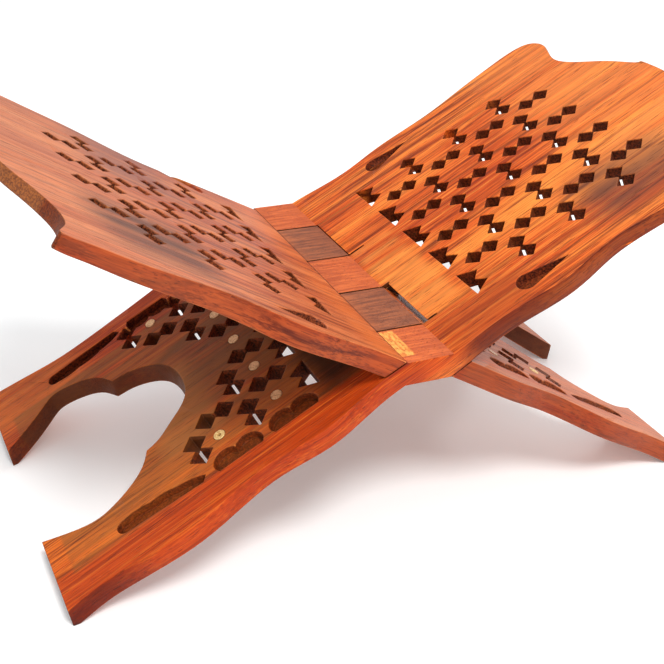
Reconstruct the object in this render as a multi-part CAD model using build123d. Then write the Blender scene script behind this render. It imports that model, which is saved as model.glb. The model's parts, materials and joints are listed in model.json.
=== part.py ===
from build123d import *
import math
import os

# Folding book stand: two interlocked boards sawn from one plank, opened to an X.
# Units are millimetres, +Z is up, the hinge axis runs along Y above the origin.

# ---- driving dimensions ----
OPEN_HALF_DEG = 60.0        # each wing leans this far from upright when open
PLANK_HALF = 12.2           # half of the closed plank's thickness
SAW_HALF = 0.9              # half of the saw cut that parts the two boards
STOP_GAP = 0.4              # air left where an open wing meets the other leg
WORN_STOP_GAP = 3.0         # the same where one wing end has been cut too short
KNUCKLE_GAP = 0.8           # saw cut between neighbouring knuckles
KNUCKLE_EDGES = (-130.0, -65.0, -21.0, 21.0, 65.0, 130.0)
FOOT_FLAT_CUT = 1.5         # wood worn off the foot's lower edge

LEG_INNER_LENGTH = 209.0    # hinge axis to the foot along the leg's inner face
LEG_OUTER_LENGTH = 205.5    # the same along its outer face
WING_THINNING = 4.6         # wood taken off the wing's outer face at the tip
WING_THINNING_START = 95.0
WING_THINNING_END = 225.0

COLUMN_STEP = 30.0          # fretwork spacing across the board
ROW_STEP = 32.9             # fretwork spacing along the board
FIRST_ROW = 50.0            # hinge axis to the first fretwork row
DIAMOND_HALF_LONG = 5.8     # half diagonal along the pair
DIAMOND_HALF_WIDE = 6.0     # half diagonal across the pair
DIAMOND_SHIFT = 5.3         # centre of each diamond from the pair's centre
CHIP_DEPTH = 3.6            # slanted chip cuts round each hole on the outer face
CHIP_TAPER_DEG = 24.0
CHIP_SCALE = 1.2
CROWN_BASE = 3.2            # flat side of a first-row hole, towards the hinge
CROWN_TIP = 7.0
CROWN_NOTCH = 2.0
CROWN_HALF = 11.0

LEAF_ROUND = 69.0           # centre of a leaf gouge's round end along the wing
LEAF_TIP = 94.5
LEAF_TIP_SHIFT = 2.0
LEAF_OFFSET = 85.0
LEAF_RADIUS = 6.1
LEAF_DEPTH = 4.5
LEAF_TAPER_DEG = 14.0

BLADE_OUTER = 79.5          # straight edge of the border gouges on the legs
BLADE_SHIFT = -3.5          # the border carving sits a little towards the front
BLADE_DEPTH = 5.0
BLADE_INSET = 3.0           # its outer line's ends, in from the straight edge
BLADE_CORNER = 1.5          # length of the slanted corner that joins the two
SHORT_BLADE_SHARE = 0.43    # half length of a short gouge, as a share of a row
SHORT_CUSP_DEPTH = 9.0      # its two scallops meet here
SHORT_SCALLOP_DEPTH = 12.0  # and are deepest here
SCALLOP_SHARE = 0.55
LONG_BLADE_GAP = 3.0        # fretwork row to the long gouge's narrow end
LONG_BLADE_END = 164.0      # hinge axis to the long gouge's last scallop
LONG_BLADE_WIDTHS = (4.5, 9.5, 11.5, 12.0)  # how far in its scallops' cusps lie
LONG_SCALLOP_BULGE = 1.1
LONG_CAP = (7.5, 5.0)       # its round end bulges this far down at this width

DOT_RADIUS = 3.1
DOT_LENGTH = 3.0
DOT_PROUD = 0.25
DOT_SHIFT = 1.5             # inlays sit slightly below their medallions' middles
RING_SHIFT = 3.5
DOT_SOCKET_CLEARANCE = 0.05
RING_BORE = 1.15

SAW_MARK_WIDTH = 0.9
SAW_MARK_DEPTH = 3.0
SAW_MARKS = ((21.0, 10.0), (-21.0, 4.0), (-65.0, 9.0))  # across place and length

# ---- derived sizes ----
HALF_ANGLE = math.radians(OPEN_HALF_DEG)
SIN_OPEN = math.sin(HALF_ANGLE)
COS_OPEN = math.cos(HALF_ANGLE)
# height of the flat knuckle tops above the axis when the stand is open
FACET_DIST = (PLANK_HALF + SAW_HALF) / math.tan(HALF_ANGLE) - SAW_HALF / SIN_OPEN
# lowest corner of the open leg, then the worn flat lifts the floor a little
AXIS_HEIGHT = LEG_INNER_LENGTH * COS_OPEN - SAW_HALF * SIN_OPEN - FOOT_FLAT_CUT
FAR = 300.0                 # beyond every board edge
CUT_SPARE = 1.0             # how far a cut starts outside the wood
MIDDLE_SHIFT = 3.35         # brings the middle of the uneven outlines over the origin

# edge distance from the middle at stations along a board (wing positive, leg
# negative): side waves, horn, scoop and crest; each edge was sawn by hand
RIGHT_WING_BACK = [
    (0, 101.5), (15, 101.8), (34, 99.2), (54, 97.4), (78, 99.6), (100, 99.2), (122, 99.0),
    (148, 101.8), (173, 103.8), (190, 104.0), (201, 100.0), (205, 91.0), (201.5, 78.0),
    (198.8, 67.5), (201, 58.0), (208, 45.0), (216, 30.0), (222.5, 15.0), (224.5, 0.0),
]
RIGHT_WING_FRONT = [
    (0, 98.5), (22, 97.5), (48, 96.5), (84, 100.0), (114, 96.6), (150, 100.5), (178, 103.2),
    (193, 102.8), (202, 98.0), (205, 90.0), (201.5, 78.0), (198.8, 67.5),
    (201, 58.0), (208, 45.0), (216, 30.0), (222.5, 15.0), (224.5, 0.0),
]
LEFT_WING_FRONT = [
    (0, 98.5), (22, 97.8), (48, 100.0), (84, 105.0), (114, 101.6), (150, 105.8), (178, 109.6),
    (194, 110.2), (202, 111.0), (206.8, 109.5), (205.5, 105.0), (201.3, 96.5),
    (200.2, 86.0), (203.4, 73.0), (208.4, 62.1), (213.5, 53.5), (218.4, 42.0), (223, 20.0), (224.5, 0.0),
]
LEFT_WING_BACK = [
    (0, 98.5), (22, 96.0), (48, 91.2), (84, 83.5), (114, 79.4), (150, 85.6), (178, 86.6),
    (193, 86.5), (202, 82.0), (205, 74.5), (202, 64.5), (200.8, 56.5),
    (203.5, 48.0), (210, 36.0), (217, 24.0), (222.8, 12.0), (224.5, 0.0),
]
LEG_EDGE = [
    (0, 98.5), (-28, 98.0), (-60, 98.0), (-90, 93.5), (-138, 98.5), (-186, 94.0), (-215, 96.5),
]
RIGHT_LEG_BACK = [
    (0, 101.5), (-28, 99.5), (-60, 98.0), (-90, 95.2), (-114, 93.0), (-140, 91.3), (-158, 91.4),
    (-180, 94.8), (-215, 99.5),
]

# the right leg wanders towards the front away from the hinge
RIGHT_LEG_DRIFT = -6.0
DRIFT_START = 22.0
DRIFT_RUN = 45.0
# so does the carving on the left wing
LEFT_LEAF_SHIFT = -5.0

# leg arch between the feet, as (along, across) from cusp to foot
ARCH_CROWN = -102.5
ARCH_CUSP = {1: (-136.0, 33.0), -1: (-138.0, 36.5)}
ARCH_SHOULDER = {1: (-109.5, 21.5), -1: (-109.0, 20.0)}
ARCH_NECK = {1: (-122.0, 30.0), -1: (-122.0, 29.5)}
ARCH_LOBE = {1: [(-143.0, 45.0), (-163.0, 55.0)], -1: [(-145.0, 46.5), (-164.0, 57.0)]}
ARCH_FOOT = {1: 33.0, -1: 47.0}
ARCH_SLANT = 5.0            # the saw leaned: the inner face's crown is this much lower


def side_profile(points, side, drift=0.0):
    """Board points (along, across) as sketch points (across, along)."""
    profile = []
    for along, across in points:
        share = min(1.0, max(0.0, (abs(along) - DRIFT_START) / DRIFT_RUN))
        profile.append((side * across + drift * share, along))
    return profile


def board_outline(wing_edges, leg_edges, leg_drift):
    """The whole board seen square on, from (back, front) edges of wing and leg."""
    wing_back = Spline(side_profile(wing_edges[0], 1), tangents=[(0, 1), (-1, 0)])
    wing_front = Spline(side_profile(wing_edges[1], -1), tangents=[(0, 1), (1, 0)])
    leg_back = Spline(side_profile(leg_edges[0], 1, leg_drift), tangents=[(0, -1), (0.1, -1)])
    leg_front = Spline(side_profile(leg_edges[1], -1, leg_drift), tangents=[(0, -1), (-0.1, -1)])
    foot = Line(leg_back @ 1, leg_front @ 1)
    return make_face([wing_back, wing_front, leg_front, foot, leg_back])


def lowered(point, slant):
    """An arch point moved towards the feet, fully at the crown, not at the feet."""
    share = (point[0] + LEG_INNER_LENGTH) / (ARCH_CROWN + LEG_INNER_LENGTH)
    return (point[0] - slant * share, point[1])


def arch_outline(slant):
    """Opening between the two feet: a rounded crown, two cusps, two lobes."""
    edges = []
    corners = []
    crown = (0, ARCH_CROWN - slant)
    for side in (1, -1):
        upper = [ARCH_SHOULDER[side], ARCH_NECK[side], ARCH_CUSP[side]]
        waist = side_profile([lowered(point, slant) for point in upper], side)
        edges.append(Spline([crown] + waist, tangents=[(side, 0), (side * 0.1, -1)]))
        corner = (side * ARCH_FOOT[side], -LEG_INNER_LENGTH)
        bow = side_profile([lowered(point, slant) for point in ARCH_LOBE[side]], side)
        lobe = waist[-1:] + bow + [corner]
        edges.append(Spline(lobe, tangents=[(side, -0.5), (-side * 0.45, -1)]))
        corners.append(corner)
    below = [(y, -FAR) for y, z in corners]
    edges.append(Polyline(corners[0], below[0], below[1], corners[1]))
    return make_face(edges)


def arch_cut():
    """The arch sawn through the leg, a little smaller on the inner face."""
    outer = Pos(-PLANK_HALF - CUT_SPARE, 0, 0) * (Plane.YZ * arch_outline(0.0))
    inner = Plane.YZ * arch_outline(ARCH_SLANT)
    return loft([outer.face(), inner.face()], ruled=True)


def prism(points, y_low, y_high):
    """Section points (x, z) carried along Y."""
    section = make_face(Polyline([(x, 0, z) for x, z in points], close=True))
    solid = extrude(section, amount=y_high - y_low, dir=(0, 1, 0))
    return Pos(0, y_low, 0) * solid


def own_section():
    """Board section where it carries the knuckle: wing, flat knuckle, leg."""
    top = (FACET_DIST + SAW_HALF * SIN_OPEN) / COS_OPEN
    low = (PLANK_HALF * SIN_OPEN - FACET_DIST) / COS_OPEN
    half = [(SAW_HALF, FAR), (SAW_HALF, top), (-PLANK_HALF, -low), (-PLANK_HALF, -FAR)]
    return half + [(-x, -z) for x, z in half]


def end_height(x, gap):
    """Where a wing stops above the other board's knuckle, at depth x."""
    return (PLANK_HALF + gap + COS_OPEN * x) / SIN_OPEN


def wing_section(gap):
    """Section of the wing in a zone where the other board has its knuckle."""
    inner = (SAW_HALF, end_height(SAW_HALF, gap))
    outer = (PLANK_HALF, end_height(PLANK_HALF, gap))
    return [(SAW_HALF, FAR), inner, outer, (PLANK_HALF, FAR)]


def board_blank(own_zones, worn_zone):
    """The board before any carving, zone by zone along the hinge."""
    pieces = []
    half_gap = KNUCKLE_GAP / 2
    for index in range(len(KNUCKLE_EDGES) - 1):
        low = KNUCKLE_EDGES[index]
        high = KNUCKLE_EDGES[index + 1]
        if index in own_zones:
            pieces.append(prism(own_section(), low + half_gap, high - half_gap))
            continue
        gap = WORN_STOP_GAP if index == worn_zone else STOP_GAP
        pieces.append(prism(wing_section(gap), low - half_gap, high + half_gap))
        leg = [(-x, -z) for x, z in wing_section(STOP_GAP)]
        pieces.append(prism(leg, low - half_gap, high + half_gap))
    return pieces[0].fuse(*pieces[1:])


def plate(face, x_low, x_high):
    """A face drawn on the board plane, given thickness along X."""
    return Pos(x_low, 0, 0) * (Plane.YZ * extrude(face, amount=x_high - x_low))


def pair_points(along_board):
    """Two diamonds meeting in a narrow neck, as sketch points (y, z)."""
    reach = DIAMOND_SHIFT + DIAMOND_HALF_LONG
    neck = (DIAMOND_HALF_LONG - DIAMOND_SHIFT) * DIAMOND_HALF_WIDE / DIAMOND_HALF_LONG
    wide = DIAMOND_HALF_WIDE
    run = [(-reach, 0), (-DIAMOND_SHIFT, wide), (0, neck), (DIAMOND_SHIFT, wide)]
    points = run + [(-p, -q) for p, q in run]
    if along_board:
        return [(q, p) for p, q in points]
    return points


def crown_points(up):
    """First-row hole: flat towards the hinge, two peaks away from it."""
    return [
        (-CROWN_HALF, -up * CROWN_BASE),
        (CROWN_HALF, -up * CROWN_BASE),
        (DIAMOND_SHIFT, up * CROWN_TIP),
        (0, up * CROWN_NOTCH),
        (-DIAMOND_SHIFT, up * CROWN_TIP),
    ]


def row_height(row):
    return FIRST_ROW + ROW_STEP * row


def wing_lattice():
    """(kind, row, column) of every hole in a wing; column 0 is the middle."""
    holes = []
    for column in range(-2, 3):
        holes.append(("crown", 0, column))
        for row in (1, 2, 3):
            holes.append(("across", row, column))
    for column in (-1.5, -0.5, 0.5, 1.5):
        for row in (0.5, 1.5, 2.5, 3.5):
            holes.append(("along", row, column))
    return holes


def leg_lattice():
    """Holes in a leg, left out where the arch takes the wood."""
    holes = [("crown", 0, column) for column in range(-2, 3)]
    holes += [("along", 0.5, column) for column in (-1.5, -0.5, 0.5, 1.5)]
    holes += [("across", 1, column) for column in (-2, -1, 1, 2)]
    holes += [("along", 1.5, column) for column in (-1.5, 1.5)]
    holes += [("across", 2, column) for column in (-2, 2)]
    return holes


def hole_points(kind, up):
    if kind == "crown":
        return crown_points(up)
    return pair_points(kind == "along")


def through_cuts(lattice, up):
    cuts = []
    for kind, row, column in lattice:
        face = make_face(Polyline(hole_points(kind, up), close=True))
        middle = (column * COLUMN_STEP, up * row_height(row))
        cuts.append(plate(Pos(*middle) * face, -PLANK_HALF - CUT_SPARE, PLANK_HALF + CUT_SPARE))
    return cuts


def chip_cuts(lattice, up, outer_x):
    """Slanted chip cuts that widen each hole on the board's outer face."""
    inward = -1 if outer_x > 0 else 1
    long = DIAMOND_HALF_LONG * CHIP_SCALE
    wide = DIAMOND_HALF_WIDE * CHIP_SCALE
    cuts = []
    for kind, row, column in lattice:
        if kind == "crown":
            continue
        for shift in (-DIAMOND_SHIFT, DIAMOND_SHIFT):
            if kind == "along":
                centre = (0, shift)
                reach = (wide, long)
            else:
                centre = (shift, 0)
                reach = (long, wide)
            corners = [(reach[0], 0), (0, reach[1]), (-reach[0], 0), (0, -reach[1])]
            face = make_face(Polyline(corners, close=True))
            y = column * COLUMN_STEP + centre[0]
            z = up * row_height(row) + centre[1]
            surface = Plane((outer_x, y, z), x_dir=(0, inward, 0), z_dir=(inward, 0, 0))
            cuts.append(surface * extrude(face, amount=CHIP_DEPTH, taper=CHIP_TAPER_DEG))
    return cuts


def gouge(outline, surface_x, depth, taper=0.0):
    """A blind cut sunk towards +X from the face at surface_x."""
    face = outline.face()
    if face.normal_at().Z < 0:
        face = -face
    return Pos(surface_x, 0, 0) * (Plane.YZ * extrude(face, amount=depth, taper=taper))


def leaf_face(side, shift):
    """Leaf gouge outline: round towards the hinge, pointed away from it."""
    centre_y = side * LEAF_OFFSET + shift
    tip = (centre_y + side * LEAF_TIP_SHIFT, LEAF_TIP)
    left = (centre_y - LEAF_RADIUS, LEAF_ROUND)
    right = (centre_y + LEAF_RADIUS, LEAF_ROUND)
    base = ThreePointArc(left, (centre_y, LEAF_ROUND - LEAF_RADIUS), right)
    return make_face([base, Line(right, tip), Line(tip, left)])


def short_blade_face(side, row):
    """Border gouge beside a medallion: straight outside, two scallops inside."""
    middle = -row_height(row)
    half = ROW_STEP * SHORT_BLADE_SHARE
    start = (side * -BLADE_INSET, middle + half)
    end = (side * -BLADE_INSET, middle - half)
    cusp = (side * -SHORT_CUSP_DEPTH, middle)
    deepest = side * -SHORT_SCALLOP_DEPTH
    straight = [(0, middle + half - BLADE_CORNER), (0, middle - half + BLADE_CORNER)]
    face = make_face([
        Polyline(start, *straight, end),
        ThreePointArc(end, (deepest, middle - half * SCALLOP_SHARE), cusp),
        ThreePointArc(cusp, (deepest, middle + half * SCALLOP_SHARE), start),
    ])
    return Pos(side * BLADE_OUTER + BLADE_SHIFT, 0) * face


def long_blade_face(side):
    """The last border gouge: starts narrow, ends wide and round at the foot."""
    start = -row_height(2) - LONG_BLADE_GAP
    step = (-LONG_BLADE_END - start) / (len(LONG_BLADE_WIDTHS) - 1)
    knots = []
    for count, width in enumerate(LONG_BLADE_WIDTHS):
        knots.append((side * -width, start + step * count))
    edges = []
    for low, high in zip(knots[:-1], knots[1:]):
        middle = ((low[0] + high[0]) / 2, (low[1] + high[1]) / 2)
        edges.append(ThreePointArc(high, (middle[0] - side * LONG_SCALLOP_BULGE, middle[1]), low))
    outer_end = (side * -BLADE_INSET, -LONG_BLADE_END)
    cap_middle = (side * -LONG_CAP[0], -LONG_BLADE_END - LONG_CAP[1])
    lead_in = (side * -BLADE_CORNER / 3, start - BLADE_INSET)
    edges.append(ThreePointArc(outer_end, cap_middle, knots[-1]))
    edges.append(Polyline(knots[0], lead_in, outer_end))
    return Pos(side * BLADE_OUTER + BLADE_SHIFT, 0) * make_face(edges)


def saw_marks():
    """Short saw overruns into the wing's inner face beside two knuckles."""
    marks = []
    for y, length in SAW_MARKS:
        middle = end_height(SAW_HALF, STOP_GAP) + length / 2 - CUT_SPARE
        box = Box(SAW_MARK_DEPTH * 2, SAW_MARK_WIDTH, length + 2 * CUT_SPARE)
        marks.append(Pos(SAW_HALF, y, middle) * box)
    return marks


def dot_places():
    """Medallion centres on a leg's outer face, as (y, z)."""
    places = [(column * COLUMN_STEP, -row_height(0.5) - DOT_SHIFT) for column in range(-2, 3)]
    return places + [(2 * COLUMN_STEP, -row_height(1.5) - DOT_SHIFT)]


def ring_place():
    """Centre of the ringed inlay, in the first medallion of the next row."""
    return (-2 * COLUMN_STEP, -row_height(1.5) - RING_SHIFT)


def dot(place, radius, extra=0.0):
    """A round inlay standing in the leg's outer face."""
    start = -PLANK_HALF - DOT_PROUD - extra
    surface = Plane((start, place[0], place[1]), x_dir=(0, 1, 0), z_dir=(1, 0, 0))
    return surface * extrude(Circle(radius), amount=DOT_LENGTH + DOT_PROUD + extra)


def socket_cuts():
    cuts = []
    for place in dot_places() + [ring_place()]:
        cuts.append(dot(place, DOT_RADIUS + DOT_SOCKET_CLEARANCE, extra=CUT_SPARE))
    return cuts


def foot_cut():
    """The slanted end of the feet."""
    slope = (LEG_INNER_LENGTH - LEG_OUTER_LENGTH) / (PLANK_HALF - SAW_HALF)
    outside = -PLANK_HALF - CUT_SPARE
    end = [
        (0, -LEG_INNER_LENGTH - slope * SAW_HALF),
        (outside, -LEG_OUTER_LENGTH + slope * CUT_SPARE),
        (outside, -FAR - CUT_SPARE),
        (0, -FAR - CUT_SPARE),
    ]
    return prism(end, -FAR, FAR)


def floor_cut():
    """Everything under the floor once the board is open."""
    return Pos(0, 0, -FAR / 2) * Box(3 * FAR, 2 * FAR, FAR)


def thinning_cut():
    """The wing's outer face leans in towards the tip."""
    run = WING_THINNING_END - WING_THINNING_START
    far_inset = WING_THINNING * (FAR - WING_THINNING_START) / run
    wedge = [
        (PLANK_HALF, WING_THINNING_START),
        (PLANK_HALF + CUT_SPARE, WING_THINNING_START),
        (PLANK_HALF + CUT_SPARE, FAR),
        (PLANK_HALF - far_inset, FAR),
    ]
    return prism(wedge, -FAR, FAR)


def carving(leaf_shift):
    """Fretwork, leaf gouges, border gouges and inlay sockets of one board."""
    cuts = through_cuts(wing_lattice(), 1) + through_cuts(leg_lattice(), -1)
    cuts += chip_cuts(wing_lattice(), 1, PLANK_HALF) + chip_cuts(leg_lattice(), -1, -PLANK_HALF)
    for side in (-1, 1):
        cuts.append(gouge(leaf_face(side, leaf_shift), SAW_HALF, LEAF_DEPTH, LEAF_TAPER_DEG))
        blades = [short_blade_face(side, row) for row in (0.5, 1.5)] + [long_blade_face(side)]
        cuts += [gouge(blade, -PLANK_HALF, BLADE_DEPTH) for blade in blades]
    return cuts + socket_cuts()


def make_right_board():
    """The board with the two end knuckles and the middle one, closed."""
    wing_edges = (RIGHT_WING_BACK, RIGHT_WING_FRONT)
    outline = board_outline(wing_edges, (RIGHT_LEG_BACK, LEG_EDGE), RIGHT_LEG_DRIFT)
    blank = board_blank(own_zones=(0, 2, 4), worn_zone=1) & plate(outline, -PLANK_HALF, PLANK_HALF)
    return blank.cut(thinning_cut(), foot_cut(), arch_cut(), *carving(0.0), *saw_marks())


def make_left_board():
    """The board with the other two knuckles, built like the right one."""
    wing_edges = (LEFT_WING_BACK, LEFT_WING_FRONT)
    outline = board_outline(wing_edges, (LEG_EDGE, LEG_EDGE), 0.0)
    blank = board_blank(own_zones=(1, 3), worn_zone=None) & plate(outline, -PLANK_HALF, PLANK_HALF)
    return blank.cut(thinning_cut(), foot_cut(), arch_cut(), *carving(LEFT_LEAF_SHIFT))


def open_up(shape, side):
    """Lean a closed-plank shape open: side +1 to the right, -1 mirrored."""
    if side < 0:
        shape = mirror(shape, about=Plane.YZ)
    return Pos(0, MIDDLE_SHIFT, AXIS_HEIGHT) * (Rot(0, side * OPEN_HALF_DEG, 0) * shape)


def leg_dots():
    return [dot(place, DOT_RADIUS) for place in dot_places()]


def leg_ring():
    ring = dot(ring_place(), DOT_RADIUS)
    return ring - dot(ring_place(), RING_BORE, extra=CUT_SPARE)


def save(shape, name):
    export_step(shape, "parts/" + name + ".step")


def save_side(name, side, board):
    """Write one board and its inlays, opened to its side of the stand."""
    board = open_up(board, side) - floor_cut()
    save(board, name + "_board")
    dots = [open_up(solid, side) for solid in leg_dots()]
    save(Compound(dots), name + "_leg_brass_dots")
    save(open_up(leg_ring(), side), name + "_leg_brass_ring")


os.makedirs("parts", exist_ok=True)
save_side("right", 1, make_right_board())
save_side("left", -1, make_left_board())
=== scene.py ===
import json
import math

import bpy
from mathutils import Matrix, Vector

# Folding wooden book stand: two carved boards, open to an X, on a pale floor.
# Metres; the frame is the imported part's own.

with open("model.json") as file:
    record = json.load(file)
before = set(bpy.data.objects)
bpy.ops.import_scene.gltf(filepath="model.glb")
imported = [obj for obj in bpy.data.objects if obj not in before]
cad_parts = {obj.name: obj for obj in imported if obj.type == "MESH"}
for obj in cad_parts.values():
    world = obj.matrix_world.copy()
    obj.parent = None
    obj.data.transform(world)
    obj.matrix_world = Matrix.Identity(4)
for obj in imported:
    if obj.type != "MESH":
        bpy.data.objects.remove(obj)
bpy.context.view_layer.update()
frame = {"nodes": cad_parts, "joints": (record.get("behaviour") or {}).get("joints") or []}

# ---- the boards' own coordinates ----
AXIS_HEIGHT = frame["joints"][0]["pos_m"][2]
AXIS_ACROSS = frame["joints"][0]["pos_m"][1]
LEAN = math.radians(60.0)           # each wing leans this far from upright
INNER_FACE = 0.0009                 # board thickness runs from here ...
OUTER_FACE = 0.0122                 # ... to here, from the closed plank's middle
RING_STEP = 0.0105                  # growth rings, across the board

MM = 0.001

# ---- where the features lie on a board, measured from the hinge axis ----
FRET_ROWS = (40 * MM, 176 * MM)             # fretwork, up the wing or down the leg
FRET_HALF_WIDTH = (67 * MM, 70 * MM)        # fades out between these two
ARCH_TOP = -100 * MM                        # the leg's arch is all below this
LEAF_ROWS = (61 * MM, 97 * MM)
LEAF_DEPTHS = (1.3 * MM, 5.8 * MM)
BLADE_ROWS = (-171 * MM, -50 * MM)
BLADE_SPAN = (-84 * MM, 77 * MM)
BLADE_DEPTHS = (-11.8 * MM, -6.9 * MM)
SAW_CUT_REACH = 25 * MM                     # saw cuts beside the knuckles end here
KNUCKLE_TOP_HEIGHTS = (5 * MM, 8 * MM)      # the flat tops lie between these, above the axis

# ---- finish ----
WOOD_EDGE_ROUND = 0.5 * MM
BRASS_EDGE_ROUND = 0.25 * MM
WOOD_RELIEF = 0.30 * MM             # depth of grain and tool marks
BRASS_RELIEF = 0.06 * MM
FLOOR_RELIEF = 0.05 * MM

# ---- studio ----
FLOOR_HALF = 30.0
FLOOR_GLOW = 0.15                   # lifts the floor towards white
LIGHT_TARGET = (0.0, 0.0, 0.1)
KEY_WATTS = 19.0
BACK_WATTS = 4.0
SKY_STRENGTH = 0.78

# ---- camera ----
CAMERA_PLACE = (-0.26405, AXIS_ACROSS - 0.49791, 0.38260)
CAMERA_TURN_DEG = (61.0102, -3.8216, -25.3970)
CAMERA_LENS_MM = 60.92
CAMERA_SENSOR_MM = 36.0


class Graph:
    """Adds shader nodes to a material and links them."""

    def __init__(self, name):
        self.material = bpy.data.materials.new(name)
        self.material.use_nodes = True
        self.tree = self.material.node_tree
        self.tree.nodes.clear()

    def node(self, kind, **settings):
        made = self.tree.nodes.new(kind)
        for key, value in settings.items():
            setattr(made, key, value)
        return made

    def put(self, socket, value):
        """Links value to the socket, or sets it where value is plain."""
        if isinstance(value, bpy.types.NodeSocket):
            self.tree.links.new(value, socket)
        elif isinstance(value, tuple) and len(value) == 3 and socket.type == "RGBA":
            socket.default_value = (*value, 1.0)
        else:
            socket.default_value = value

    def math(self, operation, a, b=0.0, c=0.0, clamp=False):
        made = self.node("ShaderNodeMath", operation=operation, use_clamp=clamp)
        for socket, value in zip(made.inputs, (a, b, c)):
            self.put(socket, value)
        return made.outputs[0]

    def add(self, a, b):
        return self.math("ADD", a, b)

    def times(self, a, b):
        return self.math("MULTIPLY", a, b)

    def dot(self, vector, direction):
        made = self.node("ShaderNodeVectorMath", operation="DOT_PRODUCT")
        self.put(made.inputs[0], vector)
        self.put(made.inputs[1], direction)
        return made.outputs["Value"]

    def moved(self, vector, by):
        made = self.node("ShaderNodeVectorMath", operation="ADD")
        self.put(made.inputs[0], vector)
        self.put(made.inputs[1], by)
        return made.outputs[0]

    def join(self, x, y, z):
        made = self.node("ShaderNodeCombineXYZ")
        for socket, value in zip(made.inputs, (x, y, z)):
            self.put(socket, value)
        return made.outputs[0]

    def noise(self, vector, scale, detail=3.0, roughness=0.5, distortion=0.0):
        made = self.node("ShaderNodeTexNoise")
        self.put(made.inputs["Vector"], vector)
        self.put(made.inputs["Scale"], scale)
        self.put(made.inputs["Detail"], detail)
        self.put(made.inputs["Roughness"], roughness)
        self.put(made.inputs["Distortion"], distortion)
        return made.outputs[0]

    def rise(self, value, low, high):
        """0 below low, 1 above high, smooth between; low may be the larger."""
        made = self.node("ShaderNodeMapRange", interpolation_type="SMOOTHSTEP", clamp=True)
        self.put(made.inputs["Value"], value)
        flip = low > high
        self.put(made.inputs["From Min"], min(low, high))
        self.put(made.inputs["From Max"], max(low, high))
        self.put(made.inputs["To Min"], 1.0 if flip else 0.0)
        self.put(made.inputs["To Max"], 0.0 if flip else 1.0)
        return made.outputs["Result"]

    def window(self, value, low, high, soft):
        """1 between low and high, fading out over soft on each side."""
        up = self.rise(value, low - soft, low + soft)
        down = self.rise(value, high + soft, high - soft)
        return self.times(up, down)

    def mix(self, factor, a, b, blend="MIX"):
        made = self.node("ShaderNodeMix", data_type="RGBA", blend_type=blend, clamp_factor=True)
        self.put(made.inputs["Factor"], factor)
        colours = [s for s in made.inputs if s.type == "RGBA"]
        self.put(colours[0], a)
        self.put(colours[1], b)
        return [s for s in made.outputs if s.type == "RGBA"][0]

    def ramp(self, factor, stops):
        made = self.node("ShaderNodeValToRGB")
        elements = made.color_ramp.elements
        while len(elements) < len(stops):
            elements.new(0.5)
        for element, (place, colour) in zip(elements, stops):
            element.position = place
            element.color = (*colour, 1.0)
        self.put(made.inputs["Fac"], factor)
        return made.outputs["Color"]

    def finish(self, colour, roughness, height, depth, **sockets):
        """Principled shader with bump; returns the material."""
        shader = self.node("ShaderNodeBsdfPrincipled")
        self.put(shader.inputs["Base Color"], colour)
        self.put(shader.inputs["Roughness"], roughness)
        for name, value in sockets.items():
            self.put(shader.inputs[name.replace("_", " ")], value)
        bump = self.node("ShaderNodeBump")
        self.put(bump.inputs["Height"], height)
        bump.inputs["Strength"].default_value = 1.0
        bump.inputs["Distance"].default_value = depth
        self.put(shader.inputs["Normal"], bump.outputs["Normal"])
        out = self.node("ShaderNodeOutputMaterial")
        self.put(out.inputs["Surface"], shader.outputs[0])
        return self.material


def srgb(red, green, blue):
    """A colour given in display values 0..255, as the shader's linear values."""
    linear = []
    for value in (red, green, blue):
        v = value / 255.0
        linear.append(v / 12.92 if v <= 0.04045 else ((v + 0.055) / 1.055) ** 2.4)
    return tuple(linear)


# colours that both boards share
# painted shade for the arch's wall
ARCH_SHADE_BROWN = srgb(62, 23, 10)
# painted shade for the saw cuts by the hinge
SAW_CUT_SHADE_BROWN = srgb(44, 18, 10)
# painted shade for corners and creases
CREASE_SHADE_BROWN = srgb(30, 9, 5)
# painted shade for the saw gaps around the knuckle tops
GAP_SHADE_BROWN = srgb(52, 14, 8)
OILED = (1.0, 0.93, 0.72)           # warms all of the wood


class Plank:
    """Where a shaded point lies in the closed plank, and which way it faces."""

    def __init__(self, g, side):
        source = g.node("ShaderNodeTexCoord")
        self.place = source.outputs["Object"]
        centred = g.moved(self.place, (0.0, -AXIS_ACROSS, -AXIS_HEIGHT))
        thick_way = (side * math.cos(LEAN), 0.0, -math.sin(LEAN))
        along_way = (side * math.sin(LEAN), 0.0, math.cos(LEAN))
        self.thick = g.dot(centred, thick_way)
        self.across = g.dot(centred, (0.0, 1.0, 0.0))
        self.along = g.dot(centred, along_way)
        self.world_x = g.dot(centred, (1.0, 0.0, 0.0))
        self.world_z = g.dot(centred, (0.0, 0.0, 1.0))
        normal = source.outputs["Normal"]
        self.facing_thick = g.math("ABSOLUTE", g.dot(normal, thick_way))
        self.facing_along = g.math("ABSOLUTE", g.dot(normal, along_way))
        self.facing_across = g.dot(normal, (0.0, 1.0, 0.0))
        self.facing_up = g.dot(normal, (0.0, 0.0, 1.0))

    def stretched(self, g, stretch, seed):
        """Coordinates squeezed along the grain, so that noise makes streaks."""
        return g.join(g.add(self.thick, seed), self.across, g.times(self.along, stretch))


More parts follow.
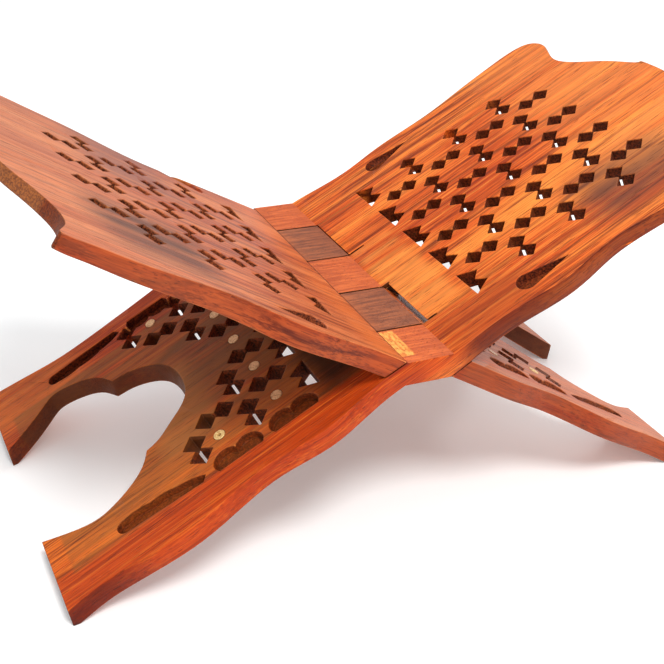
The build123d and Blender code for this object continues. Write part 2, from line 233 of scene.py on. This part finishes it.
def wood(name, side, seed, look):
    g = Graph(name)
    p = Plank(g, side)
    a_thick = g.math("ABSOLUTE", p.thick)
    a_along = g.math("ABSOLUTE", p.along)
    a_across = g.math("ABSOLUTE", p.across)
    on_leg = g.rise(p.along, 4 * MM, -10 * MM)

    # growth rings: bands across the board, bent by slow noise
    slow = g.noise(p.stretched(g, 0.30, seed), 8.0, 2.0)
    wobble = g.noise(p.stretched(g, 0.10, seed + 3), 60.0, 3.0)
    bent = g.add(p.across, g.times(slow, 0.070))
    bent = g.add(bent, g.times(wobble, 0.004))
    bent = g.add(bent, g.times(p.thick, 0.7))
    wave = g.math("SINE", g.times(bent, 2 * math.pi / RING_STEP))
    wave = g.math("MULTIPLY_ADD", wave, 0.5, 0.5)
    fade = g.noise(p.stretched(g, 0.08, seed + 7), 34.0, 2.0)
    ring = g.times(g.math("POWER", wave, 7.0), g.rise(fade, 0.40, 0.60))

    # tone, streaks, fibres and pores: finer and finer noise along the grain
    broad = g.noise(p.stretched(g, 0.10, seed + 23), 42.0, 3.0)
    streak = g.noise(p.stretched(g, 0.022, seed + 11), 300.0, 4.0, 0.70)
    fibre = g.noise(p.stretched(g, 0.022, seed + 17), 1300.0, 3.0, 0.65)
    pore = g.noise(p.stretched(g, 0.045, seed + 29), 1700.0, 1.0)
    pores = g.rise(pore, 0.64, 0.72)

    base = g.ramp(broad, [(0.32, look["red"]), (0.50, look["mid"]), (0.68, look["light"])])
    base = g.mix(g.times(g.rise(streak, 0.53, 0.62), 0.55), base, look["light"])
    base = g.mix(g.times(g.rise(streak, 0.47, 0.38), 0.75), base, look["dark"])
    base = g.mix(g.times(ring, look["ring"]), base, look["line"])
    base = g.mix(g.times(g.rise(fibre, 0.52, 0.40), 0.45), base, look["dark"])
    base = g.mix(g.times(g.rise(fibre, 0.54, 0.66), 0.30), base, look["light"])
    base = g.mix(on_leg, base, look["leg_tint"], "MULTIPLY")

    for stain in look["patches"]:
        base = stain(g, p, base)

    # end grain on the sawn crest and feet
    end = g.times(g.rise(p.facing_along, 0.35, 0.75), g.rise(a_along, 120 * MM, 150 * MM))
    end_speck = g.noise(p.place, 1100.0, 3.0, 0.7)
    end_colour = g.mix(g.rise(end_speck, 0.58, 0.42), look["end"], look["end_dark"])
    base = g.mix(g.times(end, 0.8), base, end_colour)

    # sawn side walls of the board, painted darker than the faces as shade
    inside_depth = g.window(a_thick, INNER_FACE + 0.5 * MM, OUTER_FACE + 1 * MM, 0.4 * MM)
    wall = g.rise(p.facing_thick, 0.75, 0.45)
    outer_wall = g.times(wall, g.rise(a_across, 70 * MM, 74 * MM))
    wall_shade_tone = g.mix(g.rise(p.along, 30 * MM, 14 * MM), look["wall"], look["leg_wall"])
    wall_shade_tone = g.mix(g.rise(p.along, -150 * MM, -190 * MM), wall_shade_tone, look["wall"])
    base = g.mix(g.times(outer_wall, 0.9), base, wall_shade_tone, "MULTIPLY")

    # fretwork walls are rough from the tools, and painted dark as shade; the arch's wall is plain and
    # painted dark as shade
    rows = g.window(a_along, *FRET_ROWS, 2 * MM)
    carved = g.times(rows, g.rise(a_across, FRET_HALF_WIDTH[1], FRET_HALF_WIDTH[0]))
    carved = g.times(carved, g.times(wall, inside_depth))
    arch = g.times(
        g.rise(p.along, ARCH_TOP, ARCH_TOP - 1 * MM),
        g.rise(a_across, 66 * MM, 64 * MM),
    )
    arch = g.times(arch, g.times(wall, inside_depth))
    carved = g.times(carved, g.math("SUBTRACT", 1.0, arch))
    base = g.mix(g.times(arch, 0.78), base, ARCH_SHADE_BROWN)
    # leaf gouges in the wing's inner face: floors, and walls clear of the side waves
    leaf = g.window(p.along, *LEAF_ROWS, 0.6 * MM)
    leaf = g.times(leaf, g.window(p.thick, *LEAF_DEPTHS, 0.2 * MM))
    leaf_walls = g.window(p.across, *look["leaf_span"], 0.6 * MM)
    leaf = g.times(leaf, g.math("MAXIMUM", g.rise(p.facing_thick, 0.80, 0.92), leaf_walls))
    # border gouges in the leg's outer face, painted dark as shade; the front ones are shallow, worn
    # and in the light, so painted less dark
    blade = g.window(p.along, *BLADE_ROWS, 0.6 * MM)
    blade = g.times(blade, g.window(p.thick, *BLADE_DEPTHS, 0.2 * MM))
    blade = g.times(blade, g.window(p.across, *BLADE_SPAN, 0.6 * MM))
    blade = g.times(blade, g.rise(a_across, 60 * MM, 63 * MM))
    at_back = g.rise(p.across, -20 * MM, 0.0)
    blade = g.times(blade, g.math("MAXIMUM", at_back, look["front_gouge"]))
    sunk = g.math("MAXIMUM", leaf, blade)
    carved = g.math("MAXIMUM", carved, sunk)
    # painted shade: carved walls and gouges are painted dark, broken by lighter tool marks
    ticks = g.noise(g.join(p.thick, p.across, p.along), 900.0, 3.0, 0.6, 0.4)
    carved_colour = g.mix(g.rise(ticks, 0.38, 0.66), look["cut_dark"], look["cut_light"])
    base = g.mix(g.times(carved, 0.90), base, carved_colour)

    # painted shade: the saw cuts between the knuckles and behind the wing ends, and the undersides
    # beside them, are painted nearly black
    sawn = g.rise(g.math("ABSOLUTE", p.facing_across), 0.35, 0.60)
    sawn = g.times(sawn, g.rise(a_along, SAW_CUT_REACH, SAW_CUT_REACH - 3 * MM))
    sawn = g.times(sawn, g.rise(a_across, 88 * MM, 84 * MM))
    under = g.rise(p.facing_up, -0.55, -0.75)
    under = g.times(under, g.window(a_thick, 1.3 * MM, 11.6 * MM, 0.2 * MM))
    under = g.times(under, g.rise(a_along, SAW_CUT_REACH + 2 * MM, SAW_CUT_REACH - 1 * MM))
    base = g.mix(g.times(g.math("MAXIMUM", sawn, under), 0.85), base, SAW_CUT_SHADE_BROWN)

    # painted shade in corners and creases, and rubbed edges
    crease = g.node("ShaderNodeAmbientOcclusion", samples=8)
    crease.inputs["Distance"].default_value = 3 * MM
    base = g.mix(g.times(g.rise(crease.outputs["AO"], 0.80, 0.35), 0.70), base, CREASE_SHADE_BROWN)
    rub = g.node("ShaderNodeAmbientOcclusion", samples=8, inside=True)
    rub.inputs["Distance"].default_value = 1.4 * MM
    rubbed = g.times(g.rise(rub.outputs["AO"], 0.74, 0.45), g.rise(streak, 0.40, 0.60))
    base = g.mix(g.times(rubbed, 0.55), base, look["rubbed"])
    base = g.mix(g.times(pores, 0.55), base, look["line"])
    base = g.mix(1.0, base, OILED, "MULTIPLY")

    rough = g.add(g.times(fibre, 0.18), g.times(streak, 0.10))
    rough = g.add(rough, look["rough"])
    rough = g.math("MAXIMUM", rough, g.times(carved, 0.75))
    height = g.add(g.times(fibre, 0.40), g.times(streak, 0.40))
    height = g.add(height, g.times(pores, -0.6))
    height = g.add(height, g.times(ring, -0.15))
    height = g.add(height, g.times(g.times(carved, ticks), 2.0))
    height = g.add(height, g.times(g.times(end, end_speck), 0.8))
    return g.finish(base, rough, height, WOOD_RELIEF, Coat_Weight=look["coat"],
                    Coat_Roughness=0.3, Specular_IOR_Level=0.14)


def patch(low_across, high_across, low_along, high_along, soft, strength, colour, streaky=0.0):
    """A stain, pale zone, painted shade or painted highlight on the wood, in plank coordinates
    (metres).

    streaky above 0 breaks the zone's strength up along the grain.
    """

    def paint(g, p, base):
        mask = g.times(
            g.window(p.across, low_across, high_across, soft),
            g.window(p.along, low_along, high_along, soft),
        )
        if streaky:
            grain = g.noise(p.stretched(g, 0.06, 41.0), 120.0, 3.0)
            mask = g.times(mask, g.rise(grain, 0.5 - streaky, 0.5 + 0.3 * streaky))
        return g.mix(g.times(mask, strength), base, colour)

    return paint


def flat_tops(g, p):
    """1 on the flat knuckle tops."""
    high = g.window(p.world_z, *KNUCKLE_TOP_HEIGHTS, 0.5 * MM)
    return g.times(g.rise(p.facing_up, 0.90, 0.97), high)


def knuckle_tops(colour, strength, shaded):
    """Tint on the flat knuckle tops, with the plank's grain across them, and painted shade towards
    +x.
    """

    def paint(g, p, base):
        grain = g.noise(g.join(g.times(p.world_x, 0.10), p.across, 0.0), 420.0, 4.0, 0.7)
        tone = g.mix(g.rise(grain, 0.40, 0.62), shaded, colour)
        # painted shade, growing towards +x
        shade_to_right = g.rise(p.world_x, -4 * MM, 14 * MM)
        tone = g.mix(g.times(shade_to_right, 0.45), tone, shaded)
        return g.mix(g.times(flat_tops(g, p), strength), base, tone)

    return paint


def bare_patch(colour):
    """Worn-through corner of the front knuckle's flat top."""

    def paint(g, p, base):
        spot = g.times(
            g.window(p.world_x, -14 * MM, -5.5 * MM, 0.6 * MM),
            g.window(p.across, -92 * MM, -67 * MM, 0.8 * MM),
        )
        fleck = g.noise(g.join(g.times(p.world_x, 3.0), p.across, 0.0), 260.0, 3.0)
        tone = g.mix(g.rise(fleck, 0.42, 0.6), colour, srgb(214, 128, 62))
        return g.mix(g.times(g.times(flat_tops(g, p), spot), 0.9), base, tone)

    return paint


# front_gouge: how dark the leg's front border gouges are painted as shade; leaf_span: where the
# leaf gouges may lie across the board; wall, leg_wall and leg_tint multiply the wood, wall and
# leg_wall as painted shade on the side walls
RIGHT_LOOK = {
    "front_gouge": 0.75,
    "leaf_span": (-93 * MM, 93 * MM),
    "red": srgb(184, 70, 22),
    "mid": srgb(210, 92, 32),
    "light": srgb(248, 148, 68),
    "dark": srgb(112, 36, 11),
    "line": srgb(74, 24, 10),
    "ring": 0.60,
    "leg_tint": (0.82, 0.66, 0.44),
    "end": srgb(176, 92, 46),
    "end_dark": srgb(84, 40, 22),
    "wall": (0.26, 0.13, 0.08),
    "leg_wall": (0.92, 0.76, 0.62),
    "cut_dark": srgb(44, 13, 7),
    "cut_light": srgb(122, 50, 22),
    "rubbed": srgb(240, 150, 80),
    "rough": 0.36,
    "coat": 0.04,
    "patches": [
        patch(-64 * MM, 20 * MM, 16 * MM, 42 * MM, 4 * MM, 0.50, srgb(238, 158, 84), 0.25),
        patch(-86 * MM, -40 * MM, 122 * MM, 186 * MM, 15 * MM, 0.95, srgb(98, 58, 50), 0.7),
        patch(-54 * MM, 14 * MM, -132 * MM, -96 * MM, 8 * MM, 0.75, srgb(206, 136, 80), 0.5),
        patch(48 * MM, 110 * MM, -230 * MM, -150 * MM, 14 * MM, 0.55, srgb(214, 120, 58), 0.4),
        # painted shade under the left wing, near the hinge
        patch(-60 * MM, 110 * MM, -76 * MM, -10 * MM, 18 * MM, 0.45, srgb(36, 18, 11)),
        patch(-110 * MM, -68 * MM, 14 * MM, 70 * MM, 10 * MM, 0.55, srgb(150, 62, 24), 0.3),
        # painted highlight at the top of the wing
        patch(-60 * MM, 110 * MM, 150 * MM, 240 * MM, 25 * MM, 0.45, srgb(240, 150, 84), 0.25),
        # darker olive field of the leg: partly a stain, partly painted shade under the left wing
        patch(-83 * MM, 58 * MM, -196 * MM, -10 * MM, 1.2 * MM, 0.62, srgb(138, 88, 44), 0.35),
        # painted shade under the left wing, beside the hinge
        patch(-30 * MM, 60 * MM, -104 * MM, 0.0, 14 * MM, 0.50, srgb(92, 62, 40), 0.3),
        # painted shadow, nearly black, under the left wing beside the front knuckle
        patch(-82 * MM, 110 * MM, -48 * MM, -2 * MM, 10 * MM, 0.85, srgb(22, 9, 5)),
        patch(-110 * MM, -84 * MM, -225 * MM, -20 * MM, 0.8 * MM, 0.40, srgb(190, 72, 20), 0.3),
        knuckle_tops(srgb(216, 112, 62), 0.85, srgb(176, 80, 42)),
        bare_patch(srgb(240, 178, 98)),
    ],
}
# the left board's wood colours are paler and pinker than the right's: painted sheen
LEFT_LOOK = {
    "front_gouge": 0.85,
    "leaf_span": (-97 * MM, 78 * MM),
    "red": srgb(172, 76, 44),
    "mid": srgb(190, 98, 60),
    "light": srgb(212, 128, 86),
    "dark": srgb(108, 42, 24),
    "line": srgb(90, 36, 22),
    "ring": 0.45,
    "leg_tint": (1.0, 0.84, 0.62),
    "end": srgb(142, 84, 40),
    "end_dark": srgb(84, 46, 28),
    "wall": (0.60, 0.30, 0.12),
    "leg_wall": (0.52, 0.24, 0.08),
    "cut_dark": srgb(48, 14, 8),
    "cut_light": srgb(150, 74, 42),
    "rubbed": srgb(236, 158, 104),
    "rough": 0.34,
    "coat": 0.10,
    "patches": [
        # painted sheen, pale pink, on the top of the wing
        patch(-120 * MM, 100 * MM, 130 * MM, 240 * MM, 30 * MM, 0.35, srgb(214, 144, 112), 0.3),
        patch(22 * MM, 84 * MM, 98 * MM, 152 * MM, 15 * MM, 0.75, srgb(132, 82, 80), 0.5),
        patch(-88 * MM, -36 * MM, 118 * MM, 178 * MM, 14 * MM, 0.85, srgb(76, 34, 22), 0.5),
        # painted reflection, pale pink, on the leg's outer face
        patch(-112 * MM, 100 * MM, -220 * MM, -20 * MM, 4 * MM, 0.35, srgb(214, 150, 122), 0.3),
        knuckle_tops(srgb(160, 92, 62), 0.90, srgb(108, 60, 44)),
        # painted shade: dark lines at the saw gaps beside the knuckle tops
        patch(-66 * MM, -20 * MM, 14.2 * MM, 15.4 * MM, 0.3 * MM, 0.85, GAP_SHADE_BROWN),
        patch(20 * MM, 66 * MM, 14.2 * MM, 15.4 * MM, 0.3 * MM, 0.85, GAP_SHADE_BROWN),
        patch(-120 * MM, 110 * MM, 15 * MM, 36 * MM, 8 * MM, 0.45, srgb(226, 120, 56), 0.3),
    ],
}


def brass(name, bright, shade_to_right):
    g = Graph(name)
    coords = g.node("ShaderNodeTexCoord").outputs["Object"]
    tarnish = g.noise(coords, 900.0, 4.0, 0.6)
    scratch = g.noise(g.moved(coords, (0.3, 0.1, 0.0)), 3200.0, 2.0)
    colour = g.mix(g.rise(tarnish, 0.44, 0.68), bright, shade_to_right)
    rough = g.add(g.times(scratch, 0.25), 0.28)
    height = g.add(tarnish, g.times(scratch, 0.5))
    return g.finish(colour, rough, height, BRASS_RELIEF, Metallic=0.35)


def rounded(obj, width, segments, angle_deg=32.0):
    """Softens the sharp edges of a piece with a real bevel."""
    weld = obj.modifiers.new("weld", "WELD")
    weld.merge_threshold = 0.002 * MM
    bevel = obj.modifiers.new("soft_edges", "BEVEL")
    bevel.width = width
    bevel.segments = segments
    bevel.limit_method = "ANGLE"
    bevel.angle_limit = math.radians(angle_deg)
    bevel.use_clamp_overlap = False
    bevel.harden_normals = True
    bevel.miter_outer = "MITER_SHARP"


def give_material(obj, material):
    obj.data.materials.clear()
    obj.data.materials.append(material)


nodes = frame["nodes"]
right_wood = wood("sheesham_right", 1, 0.0, RIGHT_LOOK)
left_wood = wood("sheesham_left", -1, 5.0, LEFT_LOOK)
dot_brass = brass("worn_brass", srgb(226, 180, 132), srgb(176, 122, 82))
ring_brass = brass("pale_brass", srgb(244, 214, 146), srgb(206, 158, 96))
give_material(nodes["right_board"], right_wood)
give_material(nodes["left_board"], left_wood)
for board in ("right_board", "left_board"):
    rounded(nodes[board], WOOD_EDGE_ROUND, 2)
for name, obj in nodes.items():
    if "brass" in name:
        give_material(obj, ring_brass if "ring" in name else dot_brass)
        rounded(obj, BRASS_EDGE_ROUND, 2)

# ---- floor, light and camera ----
floor_mesh = bpy.data.meshes.new("floor")
corner_signs = ((-1, -1), (1, -1), (1, 1), (-1, 1))
corners = [(x * FLOOR_HALF, y * FLOOR_HALF, 0.0) for x, y in corner_signs]
floor_mesh.from_pydata(corners, [], [(0, 1, 2, 3)])
floor = bpy.data.objects.new("floor", floor_mesh)
bpy.context.scene.collection.objects.link(floor)
floor_graph = Graph("pale_floor")
floor_place = floor_graph.node("ShaderNodeTexCoord").outputs["Object"]
grain = floor_graph.noise(floor_place, 40.0, 3.0)
tone = floor_graph.mix(grain, (0.86, 0.895, 0.91), (0.885, 0.92, 0.935))
floor_material = floor_graph.finish(tone, 0.85, grain, FLOOR_RELIEF, Emission_Color=(1.0, 0.96, 0.95),
                                    Emission_Strength=FLOOR_GLOW)
give_material(floor, floor_material)


def area_light(name, place, size, watts, colour):
    """Round soft light, turned to the middle of the stand."""
    data = bpy.data.lights.new(name, "AREA")
    data.shape = "DISK"
    data.size = size
    data.energy = watts
    data.color = colour
    lamp = bpy.data.objects.new(name, data)
    lamp.location = place
    sight = Vector(LIGHT_TARGET) - Vector(place)
    lamp.rotation_euler = sight.to_track_quat("-Z", "Y").to_euler()
    bpy.context.scene.collection.objects.link(lamp)


area_light("key", (-0.15, -0.85, 1.45), 0.50, KEY_WATTS, (1.0, 0.985, 0.96))
area_light("back_sheen", (0.9, 0.9, 1.2), 0.60, BACK_WATTS, (1.0, 0.98, 0.98))

world = bpy.data.worlds.new("studio")
bpy.context.scene.world = world
world.use_nodes = True
background = world.node_tree.nodes["Background"]
background.inputs["Color"].default_value = (1.0, 0.99, 0.985, 1.0)
background.inputs["Strength"].default_value = SKY_STRENGTH

camera_data = bpy.data.cameras.new("camera")
camera_data.sensor_width = CAMERA_SENSOR_MM
camera_data.lens = CAMERA_LENS_MM
camera = bpy.data.objects.new("camera", camera_data)
camera.location = CAMERA_PLACE
camera.rotation_euler = [math.radians(turn) for turn in CAMERA_TURN_DEG]
bpy.context.scene.collection.objects.link(camera)
bpy.context.scene.camera = camera

bpy.context.scene.view_settings.view_transform = "Standard"
bpy.context.scene.view_settings.look = "None"
